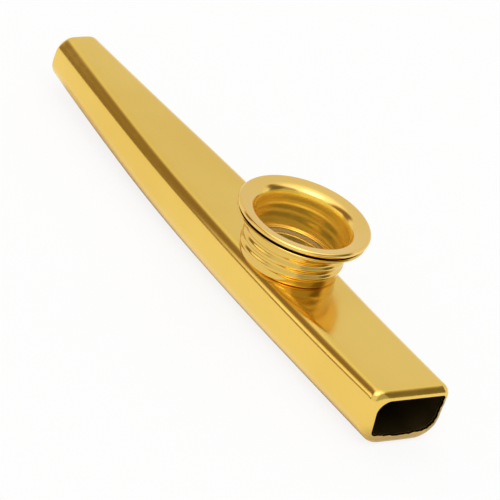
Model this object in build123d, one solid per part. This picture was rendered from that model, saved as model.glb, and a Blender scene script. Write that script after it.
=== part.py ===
"""Metal kazoo: a drawn tube with a turret that holds a buzzing diaphragm under a screw ring.

Millimetres. X runs along the tube from the tail to the mouth, Z is up along the turret's axis.
The origin is under the middle of the tube, on the flat face that it rests on.
"""
import math
import os

from build123d import *

# Tube, outside
body_length = 120.0
wall = 0.7
mouth_width = 18.3
mouth_height = 12.3
tail_width = 10.6
tail_height = 9.8
seat_height = 11.85
pressed_flat = 0.03
shoulder_width = 20.4
shoulder_behind_turret = 17.5
shoulder_arc_length = 56.0
tail_rise = 2.8
rise_behind_turret = 20.0
mouth_top_radius = 2.4
mouth_bottom_radius = 6.3
seat_top_radius = 2.5
seat_bottom_radius = 6.1
tail_top_radius = 3.8
tail_bottom_radius = 4.3
section_spacing = 12.0

# Turned-in ends of the tube
mouth_bend_radius = 1.6
tail_bend_radius = 1.1
mouth_lip = 1.75
tail_hole_radius = 3.5

# Turret socket: a stamped cup that is clinched into a hole in the tube
turret_from_mouth = 42.0
socket_wall = 0.35
socket_bore_radius = 9.8
socket_foot_radius = 0.8
seat_thickness = 0.5
spigot_bore_radius = 8.0
spigot_wall = 0.35
spigot_clearance = 0.05
hem_width = 0.6
hem_thickness = 0.5
hem_clearance = 0.05
hem_half_span = 5.5
flare_start = 7.0
flare_radius = 1.5
socket_rim_radius = 13.0
socket_bead_radius = 0.32

# A bend takes at most this share of the width between its wall and the bead that it leads out to
bend_share_limit = 0.85

# Rolled screw thread: one right-hand wave in both pieces, faded out at its two ends
thread_pitch = 1.9
thread_depth = 0.4
thread_fade = 0.9
thread_steps_per_turn = 12
thread_start = 0.7
ring_thread_bottom = 1.8
ring_thread_top = 7.1
socket_thread_bottom = 1.1
socket_thread_top = 6.8

# Screw ring
ring_wall = 0.35
ring_bore_clearance = 0.15
ring_lip_bore_radius = 8.4
ring_shoulder_start = 8.04
ring_shoulder_radius = 2.2
ring_flange_radius = 13.3
ring_dish_angle = 12.0
ring_curl_radius = 0.55

# Diaphragm
film_thickness = 0.05
film_ring_thickness = 0.6
film_ring_width = 1.0
film_radial_clearance = 0.2
stack_clearance = 0.03

# Places worked out from the sizes above
mouth_x = body_length / 2
tail_x = -body_length / 2
turret_x = mouth_x - turret_from_mouth
shoulder_x = turret_x - shoulder_behind_turret
rise_x = turret_x - rise_behind_turret
wave = thread_depth / 2
socket_low_bore = socket_bore_radius - wave
socket_high_bore = socket_bore_radius + wave
socket_low_radius = socket_low_bore + socket_wall
socket_high_radius = socket_high_bore + socket_wall
spigot_radius = spigot_bore_radius + spigot_wall
socket_hole_radius = spigot_radius + spigot_clearance
seat_half_length = socket_low_radius + wall
ring_radius = socket_bore_radius - ring_bore_clearance
ring_bore_radius = ring_radius - ring_wall
ring_low_radius = ring_radius - wave
ring_low_bore = ring_bore_radius - wave
ring_neck_radius = ring_radius + wave
ring_neck_bore = ring_bore_radius + wave
film_radius = socket_low_bore - film_radial_clearance
film_bottom = seat_thickness + stack_clearance
film_ring_bottom = film_bottom + film_thickness
ring_bottom = film_ring_bottom + film_ring_thickness + stack_clearance


def lerp(start, end, share):
    """The value at a share of the way from start to end."""
    return start + (end - start) * share


def along_tube(x, tail_value, seat_value, mouth_value):
    """A size that is level under the turret and curves away from there to the two ends."""
    if x >= turret_x:
        flat_end = turret_x + seat_half_length
        share = max(0.0, (x - flat_end) / (mouth_x - flat_end))
        return lerp(seat_value, mouth_value, share * share)
    flat_end = turret_x - seat_half_length
    share = max(0.0, (flat_end - x) / (flat_end - tail_x))
    return lerp(seat_value, tail_value, share * share)


def half_width(x):
    """Half the tube's width: two straight flanks joined at the shoulder by a long tangent arc."""
    reach = shoulder_arc_length / 2
    tail_slope = (shoulder_width - tail_width) / 2 / (shoulder_x - tail_x)
    mouth_slope = (shoulder_width - mouth_width) / 2 / (mouth_x - shoulder_x)
    arc_radius = shoulder_arc_length / (tail_slope + mouth_slope)
    from_shoulder = abs(x - shoulder_x)
    slope = mouth_slope if x >= shoulder_x else tail_slope
    flank = shoulder_width / 2 - slope * from_shoulder
    return flank - max(0.0, reach - from_shoulder) ** 2 / (2 * arc_radius)


def underside(x):
    """The height of the tube's underside, which lifts a little towards the tail."""
    share = max(0.0, (rise_x - x) / (rise_x - tail_x))
    return tail_rise * share * share


def tube_section(x, inset):
    """The tube's section at x, drawn in by inset on every side."""
    w = half_width(x) - inset
    base = underside(x)
    low = base + inset - pressed_flat
    top = base + along_tube(x, tail_height, seat_height, mouth_height) + pressed_flat - inset
    top_radius = along_tube(x, tail_top_radius, seat_top_radius, mouth_top_radius) - inset
    low_radius = along_tube(x, tail_bottom_radius, seat_bottom_radius, mouth_bottom_radius) - inset
    outline = [
        Line((-w + low_radius, low), (w - low_radius, low)),
        CenterArc((w - low_radius, low + low_radius), low_radius, -90, 90),
        Line((w, low + low_radius), (w, top - top_radius)),
        CenterArc((w - top_radius, top - top_radius), top_radius, 0, 90),
        Line((w - top_radius, top), (-w + top_radius, top)),
        CenterArc((-w + top_radius, top - top_radius), top_radius, 90, 90),
        Line((-w, top - top_radius), (-w, low + low_radius)),
        CenterArc((-w + low_radius, low + low_radius), low_radius, 180, 90),
    ]
    return Plane.YZ.offset(x) * make_face(outline)


def tube_solid(inset):
    """A solid tube, drawn in by inset on every side and at both ends, with rounded end edges."""
    start, end = tail_x + inset, mouth_x - inset
    count = round((end - start) / section_spacing)
    sections = [tube_section(lerp(start, end, i / count), inset) for i in range(count + 1)]
    solid = loft(sections)
    solid = fillet(solid.faces().sort_by(Axis.X)[0].edges(), tail_bend_radius - inset)
    return fillet(solid.faces().sort_by(Axis.X)[-1].edges(), mouth_bend_radius - inset)


def on_turret(shape):
    """Moves a shape from the turret's own frame, with its base at Z 0, to its place on the tube."""
    return Pos(turret_x, 0, seat_height) * shape


def body_tube():
    """The drawn tube: an even wall, a slot for the mouth, a round outlet and the turret's hole."""
    tube = tube_solid(0.0) - tube_solid(wall)
    tube -= extrude(tube_section(mouth_x, mouth_lip), mouth_bend_radius, both=True)
    outlet = Pos(tail_x, 0, tail_rise + tail_height / 2) * (Plane.YZ * Circle(tail_hole_radius))
    tube -= extrude(outlet, tail_bend_radius, both=True)
    tube -= Pos(0, 0, -wall) * Box(2 * body_length, body_length, 2 * wall)
    tube -= on_turret(Pos(0, 0, wall) * Cylinder(seat_half_length, 2 * wall))
    return tube - on_turret(Cylinder(socket_hole_radius, 4 * wall))


def thread_wave(z, bottom, top):
    """The share of the thread's full wave at a height: nothing at its ends, all of it between."""
    run_in = min(1.0, (z - bottom) / thread_fade, (top - z) / thread_fade)
    return run_in * run_in * (3 - 2 * run_in)


def thread_core(mid_radius, bottom, top, top_side):
    """A solid with the rolled thread on its side: circles whose centres walk round the axis.

    It starts at the thread's root. It ends at the root or at the crest, as top_side is -1 or 1.
    """
    count = math.ceil((top - bottom) / thread_pitch * thread_steps_per_turn)
    circles = []
    for i in range(count + 1):
        z = lerp(bottom, top, i / count)
        share = thread_wave(z, bottom, top)
        side = -1 if z < (bottom + top) / 2 else top_side
        angle = 2 * math.pi * (z - thread_start) / thread_pitch
        offset = wave * share
        centre = Pos(offset * math.cos(angle), offset * math.sin(angle), z)
        circles.append(centre * Circle(mid_radius + side * wave * (1 - share)))
    return loft(circles)


def threaded_wall(outer_radius, bore_radius, bottom, top, top_side):
    """A thin wall that carries the rolled thread on both of its sides."""
    outside = thread_core(outer_radius, bottom, top, top_side)
    return outside - thread_core(bore_radius, bottom, top, top_side)


def spin(outline):
    """A ring, from its closed outline in radius and height."""
    return revolve(Plane.XZ * make_face(outline), Axis.Z)


def round_bead(centre, radius):
    """A round rolled edge, from its centre in radius and height."""
    return revolve(Plane.XZ * (Pos(centre[0], centre[1]) * Circle(radius)), Axis.Z)


def socket_base():
    """The socket's lower end: the seat, the rounded foot and the spigot with its rolled hem."""
    foot = socket_foot_radius
    spigot_low = -(wall + hem_clearance + hem_thickness)
    outline = [
        Polyline(
            (socket_low_bore, socket_thread_bottom),
            (socket_low_bore, seat_thickness),
            (spigot_bore_radius, seat_thickness),
            (spigot_bore_radius, spigot_low),
            (spigot_radius, spigot_low),
            (spigot_radius, 0),
            (socket_low_radius - foot, 0),
        ),
        CenterArc((socket_low_radius - foot, foot), foot, -90, 90),
        Polyline(
            (socket_low_radius, foot),
            (socket_low_radius, socket_thread_bottom),
            (socket_low_bore, socket_thread_bottom),
        ),
    ]
    hem = Cylinder(spigot_radius + hem_width, hem_thickness)
    hem -= Cylinder(spigot_bore_radius, hem_thickness)
    hem &= Box(2 * socket_rim_radius, 2 * hem_half_span, hem_thickness)
    return spin(outline) + Pos(0, 0, spigot_low + hem_thickness / 2) * hem


def socket_flare():
    """The socket's upper end, flared out to a flat rim with a rolled edge."""
    room = socket_rim_radius - socket_bead_radius - socket_high_radius
    bend = min(flare_radius, bend_share_limit * room)
    centre = (socket_high_radius + bend, flare_start)
    inner_radius = bend + socket_wall
    rim_low = flare_start + bend
    rim_top = flare_start + inner_radius
    bead = (socket_rim_radius - socket_bead_radius, rim_top - socket_bead_radius)
    outline = [
        Polyline(
            (socket_high_bore, flare_start),
            (socket_high_bore, socket_thread_top),
            (socket_high_radius, socket_thread_top),
            (socket_high_radius, flare_start),
        ),
        CenterArc(centre, bend, 180, -90),
        Polyline((centre[0], rim_low), (bead[0], rim_low), (bead[0], rim_top), (centre[0], rim_top)),
        CenterArc(centre, inner_radius, 90, 90),
    ]
    return spin(outline) + round_bead(bead, socket_bead_radius)


def turret_socket():
    """The stamped socket: a seat for the diaphragm, a rolled thread and a flared rim."""
    middle = threaded_wall(
        socket_bore_radius + socket_wall, socket_bore_radius, socket_thread_bottom, socket_thread_top, 1
    )
    return on_turret(socket_base() + middle + socket_flare())


def ring_flange():
    """The screw ring's upper end: the neck, the rounded shoulder and the dished flange with a curled edge."""
    dish = math.radians(ring_dish_angle)
    room = ring_flange_radius - ring_curl_radius - ring_neck_bore
    bend = min(ring_shoulder_radius, bend_share_limit * room)
    under_bend = bend - ring_wall
    bend_start = ring_shoulder_start + ring_shoulder_radius - bend
    centre = (ring_neck_bore + bend, bend_start)
    along = (math.cos(dish), math.sin(dish))
    across = (-math.sin(dish), math.cos(dish))

    def on_flange(distance, height):
        return (
            centre[0] + along[0] * distance + across[0] * height,
            centre[1] + along[1] * distance + across[1] * height,
        )

    curl_height = bend - ring_curl_radius
    reach = ring_flange_radius - ring_curl_radius - centre[0] - across[0] * curl_height
    length = reach / along[0]
    outline = [
        Polyline(
            (ring_neck_bore, bend_start),
            (ring_neck_bore, ring_thread_top),
            (ring_neck_radius, ring_thread_top),
            (ring_neck_radius, bend_start),
        ),
        CenterArc(centre, under_bend, 180, ring_dish_angle - 90),
        Polyline(
            on_flange(0, under_bend),
            on_flange(length, under_bend),
            on_flange(length, bend),
            on_flange(0, bend),
        ),
        CenterArc(centre, bend, 90 + ring_dish_angle, 90 - ring_dish_angle),
    ]
    return spin(outline) + round_bead(on_flange(length, curl_height), ring_curl_radius)


def ring_lip():
    """The screw ring's lower end, turned in to a lip that holds the diaphragm down."""
    lip_top = ring_bottom + ring_wall
    outline = Polyline(
        (ring_lip_bore_radius, ring_bottom),
        (ring_low_radius, ring_bottom),
        (ring_low_radius, ring_thread_bottom),
        (ring_low_bore, ring_thread_bottom),
        (ring_low_bore, lip_top),
        (ring_lip_bore_radius, lip_top),
        close=True,
    )
    return spin(outline)


def screw_ring():
    """The ring that screws into the socket: a lip, a threaded skirt and a dished flange."""
    skirt = threaded_wall(ring_radius, ring_bore_radius, ring_thread_bottom, ring_thread_top, 1)
    return on_turret(ring_lip() + skirt + ring_flange())


def flat_ring(outer_radius, bore_radius, bottom, thickness):
    """A flat ring in the turret, standing on a height above its base."""
    ring = Cylinder(outer_radius, thickness)
    if bore_radius > 0:
        ring -= Cylinder(bore_radius, thickness)
    return on_turret(Pos(0, 0, bottom + thickness / 2) * ring)


def parts():
    """Every sub-part by its node name."""
    return {
        "body_tube": body_tube(),
        "turret_socket": turret_socket(),
        "diaphragm_film": flat_ring(film_radius, 0, film_bottom, film_thickness),
        "diaphragm_ring": flat_ring(
            film_radius, film_radius - film_ring_width, film_ring_bottom, film_ring_thickness
        ),
        "screw_ring": screw_ring(),
    }


os.makedirs("parts", exist_ok=True)
for name, shape in parts().items():
    export_step(shape, f"parts/{name}.step")
    print(f"{name}: {len(shape.solids())} solid, {shape.volume:.1f} mm3")
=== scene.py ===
# %% [markdown]
# # A metal kazoo, dressed over its CAD frame
# The imported CAD model is loaded first and never moved. Everything that follows is placed in its frame, in
# metres, so each dressed piece lands where its CAD node is.

# %% Load the CAD frame
import math

import bpy
import bmesh
import numpy as np
from mathutils import Matrix, Vector


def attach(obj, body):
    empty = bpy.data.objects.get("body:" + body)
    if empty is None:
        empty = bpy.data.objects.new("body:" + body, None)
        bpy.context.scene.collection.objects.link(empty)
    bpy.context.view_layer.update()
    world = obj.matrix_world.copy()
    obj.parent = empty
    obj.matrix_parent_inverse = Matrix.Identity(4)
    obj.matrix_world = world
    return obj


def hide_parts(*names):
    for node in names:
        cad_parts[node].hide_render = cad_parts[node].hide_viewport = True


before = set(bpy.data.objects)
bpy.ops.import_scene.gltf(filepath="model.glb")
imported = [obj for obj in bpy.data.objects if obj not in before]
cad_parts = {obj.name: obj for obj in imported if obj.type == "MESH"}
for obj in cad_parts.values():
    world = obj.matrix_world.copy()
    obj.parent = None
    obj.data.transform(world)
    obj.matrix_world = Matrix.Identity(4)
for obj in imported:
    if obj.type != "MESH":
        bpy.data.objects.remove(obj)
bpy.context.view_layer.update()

mm = 0.001

# %% [markdown]
# ## Camera
# The photograph was taken with a long lens from above and to one side, with the camera rolled so that the
# tube runs from the top left to the bottom right. The place, direction and roll come from fitting the
# tube's and the turret's outlines. A camera's own axes are X to the right, Y up and Z backwards, so they
# can be written straight into its matrix, which avoids guessing at Euler angles.

# %% Camera
camera_place = Vector((0.35699, -0.36387, 0.29737))
camera_looks = Vector((-0.59979, 0.62499, -0.49963)).normalized()
camera_roll = math.radians(21.286)
level = camera_looks.cross(Vector((0, 0, 1))).normalized()
camera_right = level * math.cos(camera_roll) + level.cross(camera_looks) * math.sin(camera_roll)
camera_up = camera_right.cross(camera_looks)
lens = bpy.data.cameras.new("camera")
lens.sensor_width = 36.0
lens.lens = 216.0
lens.clip_start = 0.01
lens.clip_end = 50.0
camera = bpy.data.objects.new("camera", lens)
bpy.context.collection.objects.link(camera)
axes = Matrix((camera_right, camera_up, -camera_looks)).transposed().to_4x4()
camera.matrix_world = Matrix.Translation(camera_place) @ axes
bpy.context.scene.camera = camera
print("camera is", round(camera_place.length, 3), "m from the tube's middle, lens", lens.lens, "mm")

# %% [markdown]
# ## Node sums
# Node trees are easier to read as sums than as lists of links. This small class stands for one socket.
# Adding or multiplying two of them puts the Math node in the tree, and any other node comes from `make`,
# which sets the node's settings first and then gives its sockets values or links.

# %% A socket that can be used in sums
class Wire:
    """One output socket of a node tree, used in sums as if it were a number."""

    def __init__(self, tree, socket=None):
        self.tree = tree
        self.socket = socket

    def make(self, kind, settings, sockets, out=0):
        """A new node in the same tree, and the wire that leaves it."""
        node = self.tree.nodes.new(kind)
        for name, value in settings.items():
            setattr(node, name, value)
        for key, value in sockets.items():
            if isinstance(value, Wire):
                self.tree.links.new(value.socket, node.inputs[key])
            else:
                node.inputs[key].default_value = value
        return Wire(self.tree, node.outputs[out] if len(node.outputs) else None)

    def math(self, operation, *others):
        """A Math node's result for this value and any others."""
        return self.make("ShaderNodeMath", {"operation": operation}, dict(enumerate((self, *others))))

    def ease(self, start, end):
        """0 below start, 1 above end, and a smooth step between."""
        settings = {"interpolation_type": "SMOOTHSTEP"}
        return self.make("ShaderNodeMapRange", settings, {"Value": self, "From Min": start, "From Max": end})

    def toward(self, direction):
        """How far a direction points along another one."""
        settings = {"operation": "DOT_PRODUCT"}
        return self.make("ShaderNodeVectorMath", settings, {0: self, 1: direction}, "Value")

    def split(self):
        """A vector's X, Y and Z as three wires."""
        node = self.make("ShaderNodeSeparateXYZ", {}, {"Vector": self}).socket.node
        return [Wire(self.tree, socket) for socket in node.outputs]

    def blend(self, first, second):
        """A colour between two, with this value as the share of the second."""
        settings = {"data_type": "RGBA", "clamp_factor": True}
        return self.make("ShaderNodeMix", settings, {0: self, 6: first, 7: second}, 2)

    def __add__(self, other):
        return self.math("ADD", other)

    def __radd__(self, other):
        return self.math("ADD", other)

    def __sub__(self, other):
        return self.math("SUBTRACT", other)

    def __rsub__(self, other):
        return self.make("ShaderNodeMath", {"operation": "SUBTRACT"}, {0: other, 1: self})

    def __mul__(self, other):
        return self.math("MULTIPLY", other)

    def __rmul__(self, other):
        return self.math("MULTIPLY", other)

    def __truediv__(self, other):
        return self.math("DIVIDE", other)


print("node sums ready")

# %% Helpers for finishes
def colour(red, green, blue):
    """A colour socket's value from linear red, green and blue."""
    return (red, green, blue, 1.0)


def new_material(name):
    """An empty node material and the first wire of its tree."""
    material = bpy.data.materials.new(name)
    material.use_nodes = True
    material.node_tree.nodes.clear()
    return material, Wire(material.node_tree)


def finish_material(start, shader):
    """Leads a shader to the material's output."""
    start.make("ShaderNodeOutputMaterial", {}, {"Surface": shader})


def object_place(start):
    """A point's place in the object's own frame."""
    return start.make("ShaderNodeTexCoord", {}, {}, "Object")


def noise(start, place, scale, **sockets):
    """A noise texture, with its waves for each unit of place."""
    return start.make("ShaderNodeTexNoise", {}, {"Vector": place, "Scale": scale, **sockets})


print("white is", colour(1.0, 1.0, 1.0))

# %% [markdown]
# ## Gold-coloured metal
# The kazoo is thin sheet metal with a bright, gold-coloured coat. Such a coat is a metal in the shader's
# sense: its colour is the colour of its reflections. The tube was drawn, so its fine marks run along it;
# the socket and the ring were turned in a lathe, so theirs run round the turret. Stretching a noise along
# the marks gives both. A much larger noise makes the coat a little deeper here and there, and a third
# leaves faint dull patches from handling. Three attributes on the mesh's points change the coat: `inside`
# for painted shade, a dark and rougher coat inside the tube and the turret, `bore` for the deeper colour
# in the turret, and `bent` for painted shade along the mouth's bent lip.

# %% Colours and marks of the gold finishes
turret_x = 18.0
seat_height = 11.85
tube_tones = colour(0.83, 0.55, 0.105), colour(0.90, 0.62, 0.145)
ring_tones = colour(0.85, 0.555, 0.14), colour(0.91, 0.625, 0.185)
socket_tones = colour(0.75, 0.50, 0.105), colour(0.81, 0.55, 0.14)
bore_tone = colour(0.95, 0.63, 0.07)
# painted shade: the near-black brown for the inside of the tube and the turret
painted_shade_dark = colour(0.12, 0.085, 0.03)
# painted shade: the brown along the mouth's bent lip
lip_shade_tone = colour(0.44, 0.28, 0.085)

# How often a noise changes in a metre, along and across the drawn marks and across the turned ones
drawn_grain = (90.0, 5200.0, 5200.0)
turned_grain = 9000.0
cloud_scale, touch_scale = 42.0, 110.0
cloud_range, touch_range = (0.3, 0.7), (0.52, 0.72)

# How often it changes in a radian round the turned marks
turned_wander = 1.2

# What each mark adds to the roughness, and what the bore takes from the metallic look
touch_rough, shade_mark_rough, bore_rough = 0.05, 0.4, 0.06
bore_less_metallic = 0.45
cloud_share, streak_share = 0.7, 0.3
mark_strength, mark_height = 0.06, 0.02 * mm
print("tones from", tube_tones[0][:3], "to", tube_tones[1][:3], "on the tube")

# %% Gold finishes
def point_mark(start, name):
    """A mark that the mesh carries on its points, or 0 where it has none of that name."""
    return start.make("ShaderNodeAttribute", {"attribute_name": name}, {}, "Fac")


def turned_place(start, place):
    """A place in radius, height and turn, so that a noise runs round the turret."""
    x, y, z = place.split()
    radius = (x * x + y * y).math("SQRT")
    turn = y.math("ARCTAN2", x)
    sockets = {0: radius * turned_grain, 1: z * turned_grain, 2: turn * turned_wander}
    return start.make("ShaderNodeCombineXYZ", {}, sockets)


def gold_metal(name, tones, round_turret, dull, streaky):
    """A gold-coloured coat with fine working marks along X, or round the turret's axis."""
    material, start = new_material(name)
    place = object_place(start)
    if round_turret:
        centre = (-turret_x * mm, 0.0, 0.0)
        place = start.make("ShaderNodeMapping", {}, {"Vector": place, "Location": centre})
        grain = turned_place(start, place)
    else:
        grain = start.make("ShaderNodeMapping", {}, {"Vector": place, "Scale": drawn_grain})
    streak = noise(start, grain, 1.0, Detail=3.0)
    cloud = noise(start, place, cloud_scale, Detail=2.0)
    touch = noise(start, place, touch_scale, Detail=5.0, Roughness=0.62).ease(*touch_range)
    inside, bore, bent = [point_mark(start, mark) for mark in ("inside", "bore", "bent")]
    tone = cloud.ease(*cloud_range) * cloud_share + streak * streak_share
    # Painted shade: `bent` browns the mouth's lip and `inside` darkens the inside to near black
    coat = bent.blend(tone.blend(*tones), lip_shade_tone)
    base = inside.blend(bore.blend(coat, bore_tone), painted_shade_dark)
    rough = dull + streaky * (streak - 0.5) + touch_rough * touch + shade_mark_rough * inside + bore_rough * bore
    bump_sockets = {"Strength": mark_strength, "Distance": mark_height, "Height": streak}
    bump = start.make("ShaderNodeBump", {}, bump_sockets)
    metallic = 1.0 - bore_less_metallic * bore
    shader = start.make(
        "ShaderNodeBsdfPrincipled", {},
        {"Base Color": base, "Metallic": metallic, "Roughness": rough, "Normal": bump},
    )
    finish_material(start, shader)
    return material


tube_gold = gold_metal("gold_drawn_tube", tube_tones, round_turret=False, dull=0.17, streaky=0.06)
socket_gold = gold_metal("gold_turned_socket", socket_tones, round_turret=True, dull=0.15, streaky=0.05)
ring_gold = gold_metal("gold_turned_ring", ring_tones, round_turret=True, dull=0.15, streaky=0.06)
print("gold finishes:", tube_gold.name, socket_gold.name, ring_gold.name)

# %% [markdown]
# ## The tube
# The tube is one drawn piece of sheet: a wide flat mouth, the widest place just behind the turret, and a
# nearly round tail. Its shape is a rule, a rounded rectangle whose width, height and corner radii change
# along the tube, so it is laid out as a grid of points, with one row for each section. The rows carry on
# round the turned-in ends, over the cut edge and back along the inside, so that the wall has its real
# thickness everywhere.

# %% Sizes of the tube, in millimetres
tail_x, mouth_x = -60.0, 60.0
wall = 0.7
shoulder_width, mouth_width, tail_width = 20.4, 18.3, 10.6
shoulder_x, shoulder_arc = 0.5, 56.0
mouth_height, tail_height = 12.3, 9.8
rise_x, tail_rise = -2.0, 2.8
seat_half_length = 10.65
mouth_bend, tail_bend = 1.8, 1.1
tail_hole_radius = 3.5

# Corner radii at the tail, under the turret and at the mouth
top_radii = (3.6, 2.9, 2.4)
bottom_radii = (4.3, 6.1, 6.3)

# Towards the mouth the lower right corner gets squarer
square_from, square_to = 25.0, 55.0
square_out, square_less_radius = 0.25, 1.6
print("tube length:", mouth_x - tail_x, "mm")

# %% Laws of the tube's outside
def ramp(value, start, end):
    """0 before start, 1 past end, and a straight line between. The end may be the smaller of the two."""
    return np.clip((value - start) / (end - start), 0.0, 1.0)


def smooth(share):
    """A ramp's share with both of its corners rounded."""
    return share * share * (3 - 2 * share)


def along_tube(x, tail, seat, mouth):
    """A size that is level under the turret and curves away from there to the two ends."""
    end, end_x, way = (mouth, mouth_x, 1) if x >= turret_x else (tail, tail_x, -1)
    share = ramp(x, turret_x + way * seat_half_length, end_x)
    return seat + (end - seat) * share * share


def half_width(x):
    """Half the tube's width: two straight flanks joined at the shoulder by a long arc."""
    tail_slope = (shoulder_width - tail_width) / 2 / (shoulder_x - tail_x)
    mouth_slope = (shoulder_width - mouth_width) / 2 / (mouth_x - shoulder_x)
    arc_radius = shoulder_arc / (tail_slope + mouth_slope)
    away = abs(x - shoulder_x)
    flank = shoulder_width / 2 - (mouth_slope if x >= shoulder_x else tail_slope) * away
    return flank - max(0.0, shoulder_arc / 2 - away) ** 2 / (2 * arc_radius)


def underside(x):
    """The height of the underside, which lifts a little towards the tail."""
    return tail_rise * ramp(x, rise_x, tail_x) ** 2


print("half width at mouth, turret, tail:", [round(half_width(x), 2) for x in (mouth_x, turret_x, tail_x)])

# %% One section of the tube as a row of points
corner_steps, side_steps, flat_steps = 14, 8, 18


def rounded_outline(left, right, low, top, radii):
    """Points round a box from the middle of its left side over the top, with one radius for each corner."""
    top_left, top_right, low_right, low_left = radii
    middle = (low + low_left + top - top_left) / 2
    corners = [
        (left + top_left, top - top_left, top_left, 180.0),
        (right - top_right, top - top_right, top_right, 90.0),
        (right - low_right, low + low_right, low_right, 0.0),
        (left + low_left, low + low_left, low_left, -90.0),
    ]
    path = [np.array([[left, middle]])]
    gaps = [side_steps // 2, flat_steps, side_steps, flat_steps]
    for (y, z, radius, first), steps in zip(corners, gaps):
        angle = np.radians(first - np.linspace(0.0, 90.0, corner_steps + 1))
        corner = np.stack([y + radius * np.cos(angle), z + radius * np.sin(angle)], axis=1)
        share = np.linspace(0.0, 1.0, steps + 1)[1:-1, None]
        path += [path[-1][-1] * (1 - share) + corner[0] * share, corner]
    share = np.linspace(0.0, 1.0, side_steps // 2 + 1)[1:-1, None]
    path.append(path[-1][-1] * (1 - share) + path[0][0] * share)
    return np.concatenate(path)


def tube_row(x, inset):
    """The tube's section at x, drawn in by inset on every side, as points in Y and Z."""
    base = underside(x)
    side = half_width(x) - inset
    top = base + along_tube(x, tail_height, seat_height, mouth_height) - inset
    high = along_tube(x, *top_radii) - inset
    low = along_tube(x, *bottom_radii) - inset
    square = smooth(ramp(x, square_from, square_to))
    radii = (high, high, low - square_less_radius * square, low)
    return rounded_outline(-side, side + square_out * square, base + inset, top, radii)


print("points in a row:", len(tube_row(0.0, 0.0)))

# %% [markdown]
# The mouth was cut and turned in with hand tools: its top left corner is wide and round, its right side
# is hardly turned in at all, its bottom sags, and the cut edge there and on the right is ragged. The lip
# is bent more sharply low down, and shade is painted into the coat along the bend there. A few sine waves
# that don't repeat give a ragged edge that is the same in every run.

# %% Sizes of the mouth's edge, in millimetres
mouth_slot = {"left": -7.4, "right": 8.05, "low": 2.4, "top": 10.5}
mouth_slot_radii = (2.7, 0.7, 2.8, 1.0)
sag, sag_middle, sag_width, sag_below = 0.5, 0.5, 4.0, 5.0
slant = 0.96
slant_heights, slant_sides = (8.0, 2.0), (-4.0, -6.0)

# Each wave of the ragged edge: how many there are in a round, its size and where it starts
ragged_waves = [(23, 1.0, 0.4), (37, 0.8, 1.9), (61, 0.7, 0.7)]
ragged_depth = 0.07
ragged_centre = np.array([0.2, 6.5])
ragged_fade_in, ragged_fade_out = (2.6, 3.1), (5.5, 5.0)
print("mouth slot:", mouth_slot)

# %% The openings at the two ends
def mouth_edge():
    """The mouth's cut edge in Y and Z, ragged on the right and along the bottom."""
    edge = rounded_outline(**mouth_slot, radii=mouth_slot_radii)
    hang = np.exp(-((edge[:, 0] - sag_middle) / sag_width) ** 2)
    edge[:, 1] -= sag * hang * (edge[:, 1] < sag_below)
    edge[:, 0] += slant * ramp(edge[:, 1], *slant_heights) * ramp(edge[:, 0], *slant_sides)
    turn = np.linspace(0.0, 2 * np.pi, len(edge), endpoint=False)
    ragged = sum(size * np.sin(count * turn + first) for count, size, first in ragged_waves)
    where = ramp(turn, *ragged_fade_in) * ramp(turn, *ragged_fade_out)
    out = edge - ragged_centre
    out /= np.linalg.norm(out, axis=1)[:, None]
    return edge + out * (ragged_depth * ragged * where)[:, None]


def tail_edge():
    """The round outlet at the tail, point for point opposite the tube's last section."""
    centre = np.array([0.0, tail_rise + tail_height / 2])
    out = tube_row(tail_x, 0.0) - centre
    return centre + tail_hole_radius * out / np.linalg.norm(out, axis=1)[:, None]


print("mouth edge spans", np.ptp(mouth_edge(), axis=0).round(2), "mm")

# %% Rows round the two ends
bend_rows = 13
sharper_bend = 0.7
sharper_heights, sharper_right_of = (8.5, 2.5), -7.0
tail_turned = 0.78
edge_round = 0.02


def mouth_bends(section):
    """The bend's radius at each point of the mouth, smaller low down but not on the left side."""
    low_down = ramp(section[:, 1], *sharper_heights)
    return mouth_bend - sharper_bend * low_down * (section[:, 0] > sharper_right_of)


def bent_rows(edge, end_x, way, inset):
    """Rows round a turned-in end, from the skin to the flat lip beside the cut edge."""
    bend, turned = (mouth_bend, 1.0) if way > 0 else (tail_bend, tail_turned)
    section = tube_row(end_x - way * bend, inset)
    if way > 0:
        bend = mouth_bends(section)
    lip = section + (edge - section) * turned
    rows = []
    for angle in np.radians(np.linspace(0.0, 90.0, bend_rows)):
        x = end_x - way * (bend - (bend - inset) * math.sin(angle))
        rows.append((x, section + (lip - section) * (1 - math.cos(angle))))
    return rows


def cut_edge(edge, end_x, way):
    """Rows over the thickness of a cut edge, from the outside in."""
    return [(end_x - way * depth, edge) for depth in (edge_round, wall / 2, wall - edge_round)]


print("rows over the mouth's edge:", 2 * bend_rows + len(cut_edge(mouth_edge(), mouth_x, 1)))

# %% Rows over the whole skin, outside first and then back inside
body_rows = 117
askew = 0.05
askew_from, askew_to = mouth_x - 8.0, mouth_x - 2.0


def tube_rows():
    """The skin's points, row by row: out to the mouth, over its edge, back inside, over the tail's edge."""
    mouth, tail = mouth_edge(), tail_edge()
    stations = np.linspace(tail_x + tail_bend, mouth_x - mouth_bend, body_rows + 2)[1:-1]
    rows = [(x, tube_row(x, 0.0)) for x in stations]
    rows += bent_rows(mouth, mouth_x, 1, 0.0)
    rows += cut_edge(mouth, mouth_x, 1)
    rows += bent_rows(mouth, mouth_x, 1, wall)[::-1]
    rows += [(x, tube_row(x, wall)) for x in stations[::-1]]
    rows += bent_rows(tail, tail_x, -1, wall)
    rows += cut_edge(tail, tail_x, -1)[::-1]
    rows += bent_rows(tail, tail_x, -1, 0.0)[::-1]
    grid = np.array([np.column_stack([np.broadcast_to(x, len(row)), row]) for x, row in rows])
    grid[:, :, 0] += askew * grid[:, :, 1] * ramp(grid[:, :, 0], askew_from, askew_to)
    return grid


skin = tube_rows()
print("tube grid:", skin.shape[0], "rows of", skin.shape[1])

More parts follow.
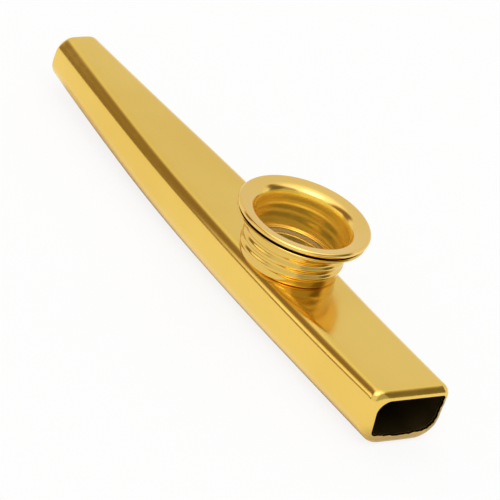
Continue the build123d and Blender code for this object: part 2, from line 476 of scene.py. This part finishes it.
# %% Marks for the tube's finish
first_inside = body_rows + bend_rows + 2
last_inside = first_inside + body_rows + 2 * bend_rows + 2
bright_under_turret = 0.95
bright_distances = (16.2, 7.2)
# where the mouth's lip gets painted shade
lip_shade_after_rows = 9
lip_shade_heights, lip_shade_sides, lip_shade_below = (5.0, 1.0), (5.0, 7.0), (10.5, 9.0)


def inside_shade_mark():
    """Painted shade: 1 on the inside's rows, and nearly 0 under the turret, where light falls in."""
    mark = np.zeros(skin.shape[:2])
    mark[first_inside:last_inside] = 1.0
    from_turret = abs(skin[:, :1, 0] - turret_x)
    return mark * (1.0 - bright_under_turret * ramp(from_turret, *bright_distances))


def lip_shade_mark():
    """Painted shade on the mouth's lip: low down and on the right, and more towards the cut edge."""
    mark = np.zeros(skin.shape[:2])
    for row in range(body_rows, first_inside):
        y, z = skin[row, :, 1], skin[row, :, 2]
        low_down = ramp(z, *lip_shade_heights)
        on_right = ramp(y, *lip_shade_sides) * ramp(z, *lip_shade_below)
        mark[row] = ramp(row, body_rows, body_rows + lip_shade_after_rows) * np.maximum(low_down, on_right)
    return mark


tube_marks = {"inside": inside_shade_mark(), "bent": lip_shade_mark()}
print("marked points:", {name: int((mark > 0).sum()) for name, mark in tube_marks.items()})

# %% Mesh helpers
weld_distance = 1e-7


def grid_mesh(name, points):
    """A closed mesh from rows of points that join up in both directions."""
    rows, columns = points.shape[:2]
    r, c = np.meshgrid(np.arange(rows), np.arange(columns), indexing="ij")
    r2, c2 = (r + 1) % rows, (c + 1) % columns
    quads = np.stack([r * columns + c, r * columns + c2, r2 * columns + c2, r2 * columns + c], axis=-1)
    mesh = bpy.data.meshes.new(name)
    mesh.from_pydata((points.reshape(-1, 3) * mm).tolist(), [], quads.reshape(-1, 4).tolist())
    return mesh


def set_mark(mesh, name, values):
    """Stores one number for each point of the mesh, under a name that a finish can read."""
    layer = mesh.attributes.new(name, "FLOAT", "POINT")
    layer.data.foreach_set("value", np.asarray(values, dtype=np.float32).ravel())


def turn_outwards(mesh):
    """Merges doubled points, makes every face point outwards and gives the volume in cubic millimetres."""
    shape = bmesh.new()
    shape.from_mesh(mesh)
    bmesh.ops.remove_doubles(shape, verts=shape.verts, dist=weld_distance)
    bmesh.ops.recalc_face_normals(shape, faces=shape.faces)
    if shape.calc_volume(signed=True) < 0:
        bmesh.ops.reverse_faces(shape, faces=shape.faces)
    volume = shape.calc_volume(signed=True)
    shape.to_mesh(mesh)
    shape.free()
    return volume / mm ** 3


def add_piece(name, mesh):
    """A new object in the scene, at the origin, with its place in its mesh."""
    piece = bpy.data.objects.new(name, mesh)
    bpy.context.collection.objects.link(piece)
    return piece


def baked_mesh(piece):
    """A plain mesh of a piece as its modifiers leave it."""
    graph = bpy.context.evaluated_depsgraph_get()
    return bpy.data.meshes.new_from_object(piece.evaluated_get(graph))


tube_mesh = grid_mesh("tube_skin", skin)
for mark_name, mark_values in tube_marks.items():
    set_mark(tube_mesh, mark_name, mark_values)
tube_volume = turn_outwards(tube_mesh)
print("tube before its hole:", len(tube_mesh.polygons), "faces,", round(tube_volume), "mm3")

# %% [markdown]
# The turret's socket stands in a round hole. A Boolean with a cylinder cuts it, and the result is baked
# into a plain mesh. The faces round the hole are flat, so the odd polygons that a Boolean leaves don't
# show.

# %% Cut the turret's hole
hole_radius, hole_low, hole_high = 8.4, 9.0, 14.5
hole_segments = 128
tube_sharp_angle = math.radians(50)


def cut_round_hole(mesh, radius, x, low, high):
    """A copy of the mesh with an upright round hole in it, in millimetres."""
    piece = add_piece("blank", mesh)
    shape = bmesh.new()
    bmesh.ops.create_cone(
        shape, cap_ends=True, segments=hole_segments,
        radius1=radius * mm, radius2=radius * mm, depth=(high - low) * mm,
        matrix=Matrix.Translation((x * mm, 0, (low + high) / 2 * mm)),
    )
    punch_mesh = bpy.data.meshes.new("punch")
    shape.to_mesh(punch_mesh)
    shape.free()
    punch = add_piece("punch", punch_mesh)
    cut = piece.modifiers.new("hole", "BOOLEAN")
    cut.operation = "DIFFERENCE"
    cut.solver = "EXACT"
    cut.object = punch
    result = baked_mesh(piece)
    bpy.data.objects.remove(piece)
    bpy.data.objects.remove(punch)
    return result


tube_cut = cut_round_hole(tube_mesh, hole_radius, turret_x, hole_low, hole_high)
tube_cut.shade_smooth()
tube_cut.set_sharp_from_angle(angle=tube_sharp_angle)
tube_cut.materials.clear()
tube_cut.materials.append(tube_gold)
tube_shell = add_piece("tube_shell", tube_cut)
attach(tube_shell, "tube")
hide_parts("body_tube")
print("tube shell:", len(tube_cut.polygons), "faces")

# %% [markdown]
# ## The turret's two threaded pieces
# The socket and the screw ring are both thin rings with a thread rolled into them: at each height the
# wall is still a true circle, but its centre walks round the axis once for each pitch. That is a rule, so
# one Geometry Nodes tree makes both. It lays a grid of points round a drawn profile and moves each
# level's circle sideways. The profile is the object's own mesh, a row of points in radius and height. It
# carries four marks: `hem` where the spigot's edge is rolled out, `roll` for the thread's share, `inside`
# for painted shade, and `bore` for the finish.

# %% Inputs of the ring tree
ring_lengths = [
    "Pitch", "Wave", "Thread Bottom", "Thread Top", "Thread Start", "Fade", "Hem Width", "Hem Half Span",
]
hem_fade = 0.3 * mm


def add_ring_inputs(tree):
    """Gives the tree its named inputs, and returns each one's identifier by its name."""
    inputs = [("Profile", "Geometry"), ("Rows", "Int"), ("Segments", "Int")]
    inputs += [(name, "Float") for name in ring_lengths]
    inputs += [("Base", "Vector"), ("Finish", "Material")]
    identifiers = {}
    for name, kind in inputs:
        socket = tree.interface.new_socket(name=name, in_out="INPUT", socket_type="NodeSocket" + kind)
        identifiers[name] = socket.identifier
    return identifiers


print("lengths that a ring can be given:", ring_lengths)

# %% Geometry Nodes: a ring with a rolled thread
def rolled_ring_tree():
    """A tree that spins a profile round the turret's axis and rolls a thread into it."""
    tree = bpy.data.node_groups.new("rolled_ring", "GeometryNodeTree")
    identifiers = add_ring_inputs(tree)
    tree.interface.new_socket(name="Ring", in_out="OUTPUT", socket_type="NodeSocketGeometry")
    start = Wire(tree)
    given = tree.nodes.new("NodeGroupInput")

    def size(name):
        return Wire(tree, given.outputs[name])

    rows, segments = size("Rows"), size("Segments")
    grid_sockets = {"Size X": 1.0, "Size Y": 1.0, "Vertices X": segments + 1, "Vertices Y": rows + 1}
    ring = start.make("GeometryNodeMeshGrid", {}, grid_sockets)
    index = start.make("GeometryNodeInputIndex", {}, {})
    column = ((index + 0.5) / (rows + 1)).math("FLOOR")
    row = (index - column * (rows + 1)).math("FLOORED_MODULO", rows)
    on_row = {"Geometry": size("Profile"), "Index": row}

    def mark(name):
        value = start.make("GeometryNodeInputNamedAttribute", {"data_type": "FLOAT"}, {"Name": name})
        return start.make("GeometryNodeSampleIndex", {"data_type": "FLOAT"}, {**on_row, "Value": value})

    spot = start.make("GeometryNodeInputPosition", {}, {})
    point = start.make("GeometryNodeSampleIndex", {"data_type": "FLOAT_VECTOR"}, {**on_row, "Value": spot})
    radius, _, height = point.split()
    turn = column * (2 * math.pi) / segments
    cosine, sine = turn.math("COSINE"), turn.math("SINE")

    above = (height - size("Thread Bottom")) / size("Fade")
    below = (size("Thread Top") - height) / size("Fade")
    shift = above.math("MINIMUM", below).ease(0.0, 1.0) * size("Wave") * mark("roll")
    walk = (height - size("Thread Start")) * (2 * math.pi) / size("Pitch")

    aside = (radius * sine).math("ABSOLUTE")
    held = 1.0 - (aside - size("Hem Half Span")).ease(0.0, hem_fade)
    reach = radius + mark("hem") * held * size("Hem Width")
    x = reach * cosine + shift * walk.math("COSINE")
    y = reach * sine + shift * walk.math("SINE")
    place = start.make("ShaderNodeCombineXYZ", {}, {0: x, 1: y, 2: height})
    place = start.make("ShaderNodeVectorMath", {"operation": "ADD"}, {0: place, 1: size("Base")})

    on_points = {"data_type": "FLOAT", "domain": "POINT"}
    for name in ("inside", "bore"):
        kept = {"Geometry": ring, "Name": name, "Value": mark(name)}
        ring = start.make("GeometryNodeStoreNamedAttribute", on_points, kept)
    ring = start.make("GeometryNodeSetPosition", {}, {"Geometry": ring, "Position": place})
    ring = start.make("GeometryNodeMergeByDistance", {}, {"Geometry": ring, "Distance": weld_distance})
    ring = start.make("GeometryNodeSetShadeSmooth", {}, {"Geometry": ring})
    ring = start.make("GeometryNodeRealizeInstances", {}, {"Geometry": ring})
    ring = start.make("GeometryNodeSetMaterial", {}, {"Geometry": ring, "Material": size("Finish")})
    start.make("NodeGroupOutput", {}, {"Ring": ring})
    return tree, identifiers


ring_tree, ring_inputs = rolled_ring_tree()
print("ring tree:", len(ring_tree.nodes), "nodes")

# %% Profiles in radius and height above the seat, in millimetres
pitch, wave, fade, thread_start = 1.9, 0.16, 0.9, 0.7
thread_step = 0.11
sheet = 0.35
hem_beyond_radius = 8.2


def arc(centre, radius, first, last, steps=10):
    """Points on an arc, from one angle to another in degrees."""
    angle = np.radians(np.linspace(first, last, steps + 1))
    return [(centre[0] + radius * math.cos(a), centre[1] + radius * math.sin(a)) for a in angle]


def threaded(mid_radius, thread, low, high):
    """Points up a threaded wall between two heights: the thread's root below it, its crest above."""
    bottom, top = thread
    points = []
    for z in np.linspace(low, high, int((high - low) / thread_step) + 1):
        share = smooth(min(ramp(z, bottom, bottom + fade), ramp(z, top, top - fade)))
        side = -1 if z < (bottom + top) / 2 else 1
        points.append((mid_radius + side * wave * (1 - share), z))
    return points


def marked(points, hem=0.0, roll=1.0, inside=0.0, bore=0.0):
    """The points with their marks: rolled hem, share of the thread's wave, painted shade, bore."""
    return [(r, z, hem if r > hem_beyond_radius else 0.0, roll, inside, bore) for r, z in points]


print("thread:", pitch, "mm pitch,", 2 * wave, "mm deep")

# %% A ring from its profile
ring_segments = 192
hem_width, hem_half_span = 0.6, 5.2
ring_sharp_angle = math.radians(60)


def profile_piece(name, points, thread, finish):
    """A ring mesh from its marked profile, through the rolled ring tree."""
    mesh = bpy.data.meshes.new(name)
    mesh.from_pydata([(r * mm, 0, z * mm) for r, z, *_ in points], [], [])
    for column, mark in enumerate(("hem", "roll", "inside", "bore"), 2):
        set_mark(mesh, mark, [point[column] for point in points])
    piece = add_piece(name, mesh)
    roll = piece.modifiers.new("rolled_ring", "NODES")
    roll.node_group = ring_tree
    lengths = (pitch, wave, *thread, thread_start, fade, hem_width, hem_half_span)
    values = {key: length * mm for key, length in zip(ring_lengths, lengths)}
    values["Rows"] = len(points)
    values["Segments"] = ring_segments
    values["Base"] = (turret_x * mm, 0.0, seat_height * mm)
    values["Finish"] = finish
    for key, value in values.items():
        roll[ring_inputs[key]] = value
    result = baked_mesh(piece)
    piece.modifiers.remove(roll)
    piece.data = result
    volume = turn_outwards(result)
    result.set_sharp_from_angle(angle=ring_sharp_angle)
    print(name, len(result.polygons), "faces,", round(volume, 1), "mm3")
    return piece


# %% [markdown]
# The socket is a stamped cup: a spigot with a rolled hem under the tube's wall, a rounded foot on the
# tube's top, the threaded wall, and a rim flared out under the ring's flange. Its profile is one closed
# line, up the outside and down the inside.

# %% Turret socket
socket_bore = 9.8
socket_thread = (1.1, 6.8)
socket_outside_low, socket_inside_low, socket_wall_top = 0.9, 0.75, 6.95
spigot_bore, spigot_radius, spigot_low = 8.0, 8.35, -1.25
hem_top, above_hem = -0.76, (8.351, -0.74)
foot_centre, foot_radius = (9.35, 0.6), 0.6
flare_centre, flare_radius = (11.85, 7.0), 1.5
rim_centre, rim_radius = (12.68, 8.53), 0.32
seat_corner, seat_corner_radius = (9.4, 0.7), 0.2
seat_edge, seat_edge_radius = (8.15, 0.35), 0.15
# how much painted shade the socket's inner wall and the ring's gap under the flange get
painted_shade_share = 0.8


def socket_profile():
    """The socket's line: hem, outside, rim, inside and seat."""
    hem = [(spigot_bore, spigot_low), (spigot_radius, spigot_low), (spigot_radius, hem_top)]
    outside = [above_hem, (spigot_radius, 0.0)]
    outside += arc(foot_centre, foot_radius, -90, 0)
    outside += threaded(socket_bore + sheet, socket_thread, socket_outside_low, socket_wall_top)
    outside += arc(flare_centre, flare_radius, 180, 90, 12)
    outside += arc(rim_centre, rim_radius, 185, 450, 20)
    inside = arc(flare_centre, flare_radius + sheet, 90, 180, 12)
    inside += threaded(socket_bore, socket_thread, socket_inside_low, socket_wall_top)[::-1]
    seat = arc(seat_corner, seat_corner_radius, 0, -90, 5)
    seat += arc(seat_edge, seat_edge_radius, 90, 180, 5)
    outer_side = marked(hem, hem=1, bore=1) + marked(outside)
    # painted shade on the socket's inner wall
    return outer_side + marked(inside, inside=painted_shade_share) + marked(seat, bore=1)


socket = profile_piece("socket_shell", socket_profile(), socket_thread, socket_gold)
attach(socket, "tube")
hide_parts("turret_socket")

# %% [markdown]
# The screw ring is what the fingers turn. Its flange is dished by a few degrees and ends in a curled
# edge, a rounded shoulder leads into the bore, and the skirt ends in a lip that holds the diaphragm down.
# The thread shows less in the bore than outside, and the gap under the flange gets painted shade, a dark
# and rougher coat.

# %% Screw ring
ring_bore, neck_bore = 9.3, 9.5
ring_thread = (1.8, 7.1)
ring_outside_low, ring_inside_low, ring_wall_top = 1.75, 1.72, 7.1
neck_low, neck_high, neck_rows = 7.2, 7.9, 4
bend_centre, bend_radius = (11.7, 8.04), 2.2
dish_degrees, flange_radius, curl_radius = 12.0, 13.3, 0.55
curl_first_degrees = 171.0
lip_centre, lip_radius = (8.575, 1.385), 0.175
heel_centre, heel_radius = (9.2, 1.46), 0.25
inner_heel_centre, inner_heel_radius = (8.95, 1.71), 0.15
flange_shares = (0.75, 0.5, 0.25)
shoulder_rows_on_flange = 12
bore_roll, lip_bore = 0.3, 0.3


def ring_profile():
    """The ring's line: lip, skirt, the gap under the flange, the curled edge, the flange and the bore."""
    dish = math.radians(dish_degrees)
    along = np.array([math.cos(dish), math.sin(dish)])
    across = np.array([-math.sin(dish), math.cos(dish)])
    centre = np.array(bend_centre)
    curl_height = bend_radius - curl_radius
    length = (flange_radius - curl_radius - centre[0] - across[0] * curl_height) / along[0]
    curl_centre = centre + along * length + across * curl_height
    bend_end = 90.0 + dish_degrees
    neck_heights = np.linspace(neck_low, neck_high, neck_rows)

    lip = arc(lip_centre, lip_radius, 180, 270, 5)
    skirt = arc(heel_centre, heel_radius, -90, 0, 6)
    skirt += threaded(ring_bore + sheet, ring_thread, ring_outside_low, ring_wall_top)
    gap = [(neck_bore + sheet, z) for z in neck_heights]
    gap += arc(bend_centre, bend_radius - sheet, 180, bend_end, 14)
    edge = arc(curl_centre, curl_radius, curl_first_degrees, bend_end + 360, 28)
    shoulder = arc(bend_centre, bend_radius, bend_end, 180, 20)
    flange = [tuple(centre + along * length * share + across * bend_radius) for share in flange_shares]
    flange += shoulder[:shoulder_rows_on_flange]
    bore = shoulder[shoulder_rows_on_flange:]
    bore += [(neck_bore, z) for z in neck_heights[::-1]]
    bore += threaded(ring_bore, ring_thread, ring_inside_low, ring_wall_top)[::-1]
    lip_top = arc(inner_heel_centre, inner_heel_radius, 0, -90, 5)
    lip_top += arc(lip_centre, lip_radius, 90, 178, 5)

    # painted shade in the gap under the flange
    outer_side = marked(lip) + marked(skirt) + marked(gap, inside=painted_shade_share)
    upper_side = marked(edge) + marked(flange)
    return outer_side + upper_side + marked(bore, roll=bore_roll, bore=1) + marked(lip_top, bore=lip_bore)


ring = profile_piece("ring_shell", ring_profile(), ring_thread, ring_gold)
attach(ring, "ring")
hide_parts("screw_ring")

# %% [markdown]
# ## Diaphragm
# The film is a clear sheet a twentieth of a millimetre thick, stretched on a flat ring of translucent
# plastic. In the turret that ring looks golden, so its finish is tinted. Both CAD nodes have the right
# shape, so they only get finishes. The film is nearly all see-through, with faint ripples that catch the
# light.

# %% Film and film ring finishes
film_tones = colour(0.30, 0.28, 0.22), colour(0.22, 0.21, 0.18)
film_ring_tones = colour(0.68, 0.50, 0.21), colour(0.78, 0.60, 0.27)
ripple_scale, haze_scale, mottle_scale = 260.0, 900.0, 700.0
ripple_strength, ripple_height = 0.25, 0.05 * mm
film_specular, film_ring_alpha = 0.2, 0.9

# A least value, and what the haze or the mottle adds to it
film_rough, film_rough_haze = 0.12, 0.1
film_alpha, film_alpha_haze = 0.03, 0.04
film_ring_rough, film_ring_rough_mottle = 0.32, 0.15


def film_finish():
    """A clear film with faint ripples and a slight haze."""
    material, start = new_material("clear_film")
    place = object_place(start)
    ripple = noise(start, place, ripple_scale, Detail=2.0)
    haze = noise(start, place, haze_scale, Detail=3.0)
    bump_sockets = {"Strength": ripple_strength, "Distance": ripple_height, "Height": ripple}
    sockets = {
        "Base Color": ripple.blend(*film_tones),
        "Roughness": film_rough + film_rough_haze * haze,
        "Alpha": film_alpha + film_alpha_haze * haze,
        "Normal": start.make("ShaderNodeBump", {}, bump_sockets),
        "Specular IOR Level": film_specular,
    }
    finish_material(start, start.make("ShaderNodeBsdfPrincipled", {}, sockets))
    return material


def film_ring_finish():
    """Mottled translucent plastic."""
    material, start = new_material("pale_plastic_ring")
    mottle = noise(start, object_place(start), mottle_scale, Detail=4.0)
    sockets = {
        "Base Color": mottle.blend(*film_ring_tones),
        "Roughness": film_ring_rough + film_ring_rough_mottle * mottle,
        "Alpha": film_ring_alpha,
    }
    finish_material(start, start.make("ShaderNodeBsdfPrincipled", {}, sockets))
    return material


for node, finish in {"diaphragm_film": film_finish(), "diaphragm_ring": film_ring_finish()}.items():
    for material_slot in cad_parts[node].material_slots:
        material_slot.material = finish
    print(node, "has", len(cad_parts[node].material_slots), "finish")

# %% [markdown]
# ## Floor
# The kazoo lies on a plain white floor. The floor mixes plain white into its own colour for the camera,
# for reflections and for rays through clear materials, and the rest keeps the object's shadow. Right
# under the tube the share for reflections fades out, so that the metal reflects the dark there.

# %% Floor
floor_reach, floor_height = 6.0, -0.0003
white_share = 0.85
paper_tones = colour(0.88, 0.88, 0.88), colour(0.9, 0.9, 0.9)
paper_scale = 300.0
under_width, under_length = (0.006, 0.0095), (0.057, 0.062)


def floor_finish():
    """White paper that looks plain white to the camera."""
    material, start = new_material("white_floor")
    path = start.make("ShaderNodeLightPath", {}, {}).socket.node.outputs
    place = object_place(start)
    x, y, _ = place.split()
    under = (1.0 - y.math("ABSOLUTE").ease(*under_width)) * (1.0 - x.math("ABSOLUTE").ease(*under_length))
    camera_ray, glossy_ray, clear_ray = [
        Wire(start.tree, path[name]) for name in ("Is Camera Ray", "Is Glossy Ray", "Is Transmission Ray")
    ]
    seen = camera_ray + glossy_ray * (1.0 - under) + clear_ray
    paper = noise(start, place, paper_scale).blend(*paper_tones)
    plain = start.make("ShaderNodeBsdfDiffuse", {}, {"Color": paper})
    white = start.make("ShaderNodeEmission", {}, {"Color": colour(1, 1, 1), "Strength": 1.0})
    share = white_share * seen.math("MINIMUM", 1.0)
    finish_material(start, start.make("ShaderNodeMixShader", {}, {0: share, 1: plain, 2: white}))
    return material


floor_corners = [(-1, -1), (1, -1), (1, 1), (-1, 1)]
floor_points = [(x * floor_reach, y * floor_reach, floor_height) for x, y in floor_corners]
floor_mesh = bpy.data.meshes.new("floor")
floor_mesh.from_pydata(floor_points, [], [(0, 1, 2, 3)])
floor_mesh.materials.append(floor_finish())
floor = add_piece("floor", floor_mesh)
print("floor is", 2 * floor_reach, "m wide")

# %% [markdown]
# ## Light
# Polished metal shows what stands round it, so the surroundings do all the lighting, without any lamp
# objects. The sky is brighter on the camera's side than behind the object. A dim, warm wall on each side
# gives the metal its dark edges, a bright card covers part of the left wall, and a round bright spot high
# up on the camera's side stands for a lamp. Each of them is a zone of directions, made by comparing a
# direction with a fixed one.

# %% Directions and strengths of the light
across_view, to_camera, straight_up = (0.72, 0.694, 0.0), (0.694, -0.72, 0.0), (0.0, 0.0, 1.0)
to_card = (0.755, -0.656, 0.0)
to_lamp = Vector((0.35, -0.36, 0.87)).normalized()
sky_behind, sky_gain, front_loss = 0.82, 0.66, 0.42
left_wall, right_wall, front_right_gain = 0.27, 0.20, 0.27
card_share, lamp_strength = 0.9, 2.0
white_light = colour(1.0, 1.0, 1.0)
left_light = colour(1.0, 0.70, 0.40)
right_light = colour(1.0, 0.82, 0.44)

# Where each zone starts: how far a direction points its way for none of it, and for all of it
camera_side, overhead = (-0.32, -0.12), (0.10, 0.30)
left_side, left_top = (0.44, 0.68), (0.82, 0.95)
right_side, right_top, right_front = (0.40, 0.56), (0.70, 0.86), (0.1, 0.3)
card_side, card_low, card_top = (-0.03, 0.06), (0.10, 0.20), (0.40, 0.54)
front_side, front_top = (0.45, 0.75), (0.55, 0.75)
lamp_edge, sky_rise = (0.95, 0.972), (-0.7, 0.3)
print("the sky's strength rises from", sky_behind, "to", sky_behind + sky_gain)

# %% Surroundings
def studio_world():
    """A bright sky with a dim wall on each side, a card and a lamp."""
    world = bpy.data.worlds.new("studio")
    world.use_nodes = True
    world.node_tree.nodes.clear()
    start = Wire(world.node_tree)
    way = start.make("ShaderNodeTexCoord", {}, {}, "Generated")
    aside, near, up = [way.toward(direction) for direction in (across_view, to_camera, straight_up)]

    not_behind = near.ease(*camera_side).math("MAXIMUM", (near + up).ease(*overhead))
    left = (0.0 - aside).ease(*left_side) * (1.0 - up.ease(*left_top)) * not_behind
    right = aside.ease(*right_side) * (1.0 - up.ease(*right_top)) * not_behind
    card = way.toward(to_card).ease(*card_side) * up.ease(*card_low) * (1.0 - up.ease(*card_top))
    front = near.ease(*front_side) * (1.0 - up.ease(*front_top))
    lamp = way.toward(to_lamp).ease(*lamp_edge)
    left = left * (1.0 - card_share * card)
    front_right = right * near.ease(*right_front)
    back_right = right * (1.0 - front_right)

    open_sky = (sky_behind + sky_gain * near.ease(*sky_rise)) * (1.0 - front_loss * front)
    dim = left_wall * left + right_wall * right + front_right_gain * front_right
    shade = left.math("MAXIMUM", right)
    strength = open_sky + shade * (dim - open_sky) + lamp_strength * lamp
    tint = left.blend(back_right.blend(white_light, right_light), left_light)
    light = start.make("ShaderNodeBackground", {}, {"Color": tint, "Strength": strength})
    start.make("ShaderNodeOutputWorld", {}, {"Surface": light})
    return world


bpy.context.scene.world = studio_world()
bpy.context.scene.view_settings.view_transform = "Standard"
print("surroundings:", len(bpy.context.scene.world.node_tree.nodes), "nodes")
